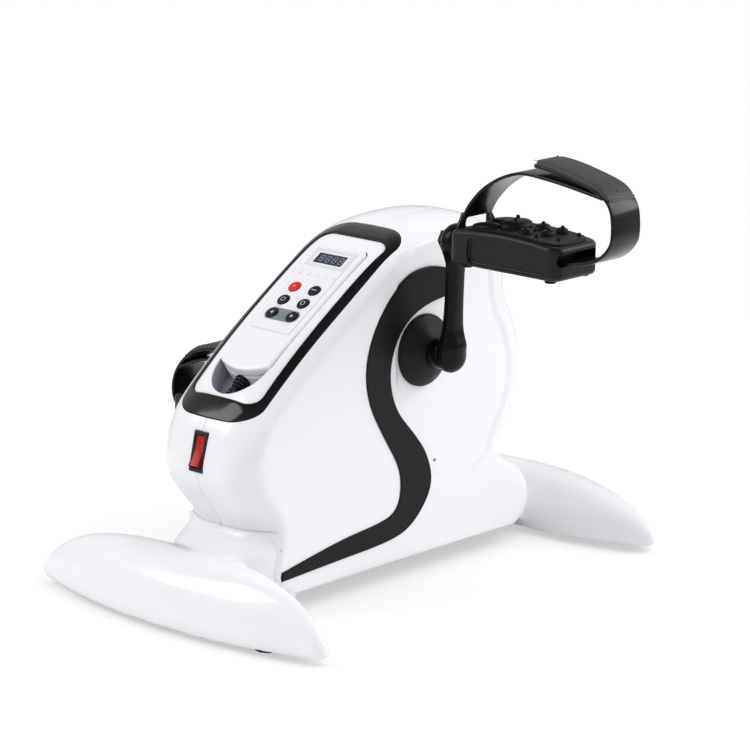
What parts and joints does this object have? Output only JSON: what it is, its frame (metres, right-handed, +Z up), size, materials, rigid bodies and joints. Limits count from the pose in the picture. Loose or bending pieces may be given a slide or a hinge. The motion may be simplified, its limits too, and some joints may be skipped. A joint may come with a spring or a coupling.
{
  "type": "under desk pedal exerciser",
  "caption": "Motor driven mini pedal trainer: sloping console with a wired handset, wing-shaped feet, cranks and pedals with foot straps.",
  "frame": {"origin": "under the middle of the whole object, on the floor", "axes": "+Z up, +X from the console's low end with the switch towards the back of the body, +Y along the crank axis to the left pedal"},
  "size_m": [0.4602, 0.4522, 0.3412],
  "materials": {
    "white_gloss": "glossy moulded",
    "white_satin": "satin moulded",
    "black_gloss": "piano black",
    "black_satin": "fine satin",
    "crank_black": "black powder coat",
    "black_rubber": "soft moulded",
    "red_gloss": "glossy",
    "steel": "turned",
    "frame_paint": "black paint",
    "board_green": "solder mask",
    "window_dark": "clear, over a grey display",
    "label_grey": "printed film"
  },
  "bodies": {
    "body": {"shell_right": "white_gloss", "shell_left": "white_gloss", "base_plate": "frame_paint", "console_ring": "black_gloss", "console_tray": "white_gloss", "curly_cord": "black_rubber", "near_foot_cover": "white_gloss", "far_foot_cover": "white_gloss", "near_foot_tube": "frame_paint", "far_foot_tube": "frame_paint", "near_right_pad": "black_rubber", "near_left_pad": "black_rubber", "far_right_pad": "black_rubber", "far_left_pad": "black_rubber", "frame_beam": "frame_paint", "frame_post": "frame_paint", "bearing_housing": "frame_paint", "bearing_right": "steel", "bearing_left": "steel", "motor": "steel", "motor_bracket": "frame_paint", "drive_belt": "black_rubber", "switch_housing": "black_satin", "mains_inlet": "black_satin", "control_board": "board_green", "power_module": "black_satin", "stripe_right": "black_gloss", "stripe_left": "black_gloss", "hub_cover_right": "black_satin", "hub_cover_left": "black_satin"},
    "cranks": {"crank_shaft": "steel", "drive_pulley": "black_satin", "crank_right": "crank_black", "crank_left": "crank_black", "spindle_right": "steel", "spindle_left": "steel", "spindle_nut_right": "steel", "spindle_nut_left": "steel"},
    "right_pedal": {"pedal_right": "black_satin", "pedal_pad_right": "black_rubber", "strap_right": "black_rubber"},
    "left_pedal": {"pedal_left": "black_satin", "pedal_pad_left": "black_rubber", "strap_left": "black_rubber"},
    "motor_rotor": {"motor_pulley": "steel"},
    "rocker": {"switch_rocker": "red_gloss"},
    "handset": {"handset_front": "white_satin", "handset_back": "white_satin", "display_window": "window_dark", "display_module": "black_satin", "handset_board": "board_green", "keypad_label": "label_grey", "cord_relief": "black_rubber"},
    "key_1_right": {"button_1_right": "black_satin"},
    "key_1_left": {"button_1_left": "red_gloss"},
    "key_2_right": {"button_2_right": "black_satin"},
    "key_2_left": {"button_2_left": "black_satin"},
    "key_3_right": {"button_3_right": "black_satin"},
    "key_3_left": {"button_3_left": "black_satin"}
  },
  "joints": [
    {"name": "crank_spin", "type": "hinge", "parent": "body", "child": "cranks", "pos_m": [0.0071, 0.0182, 0.178], "axis": [0, 1, 0], "continuous": true},
    {"name": "right_pedal_spin", "type": "hinge", "parent": "cranks", "child": "right_pedal", "pos_m": [0.00208, -0.1, 0.26786], "axis": [0, 1, 0], "continuous": true},
    {"name": "left_pedal_spin", "type": "hinge", "parent": "cranks", "child": "left_pedal", "pos_m": [0.01212, 0.1364, 0.08814], "axis": [0, 1, 0], "continuous": true},
    {"name": "motor_spin", "type": "hinge", "parent": "body", "child": "motor_rotor", "pos_m": [-0.0669, 0.0542, 0.112], "axis": [0, 1, 0], "continuous": true},
    {"name": "power_rocker", "type": "hinge", "parent": "body", "child": "rocker", "pos_m": [-0.1845, 0.0182, 0.1262], "axis": [0, 1, 0], "range_deg": [-20, 0]},
    {"name": "handset_lift", "type": "slide", "parent": "body", "child": "handset", "axis": [-0.5467, 0, 0.8373], "range_m": [0, 0.12], "deforming": ["curly_cord"]},
    {"name": "press_1_right", "type": "slide", "parent": "handset", "child": "key_1_right", "axis": [0.5467, 0, -0.8373], "range_m": [0, 0.001], "stiffness_N_per_m": 400},
    {"name": "press_1_left", "type": "slide", "parent": "handset", "child": "key_1_left", "axis": [0.5467, 0, -0.8373], "range_m": [0, 0.001], "stiffness_N_per_m": 400},
    {"name": "press_2_right", "type": "slide", "parent": "handset", "child": "key_2_right", "axis": [0.5467, 0, -0.8373], "range_m": [0, 0.001], "stiffness_N_per_m": 400},
    {"name": "press_2_left", "type": "slide", "parent": "handset", "child": "key_2_left", "axis": [0.5467, 0, -0.8373], "range_m": [0, 0.001], "stiffness_N_per_m": 400},
    {"name": "press_3_right", "type": "slide", "parent": "handset", "child": "key_3_right", "axis": [0.5467, 0, -0.8373], "range_m": [0, 0.001], "stiffness_N_per_m": 400},
    {"name": "press_3_left", "type": "slide", "parent": "handset", "child": "key_3_left", "axis": [0.5467, 0, -0.8373], "range_m": [0, 0.001], "stiffness_N_per_m": 400}
  ],
  "couplings": [
    {"joint": "motor_spin", "follows": "crank_spin", "ratio": 4.5455}
  ]
}
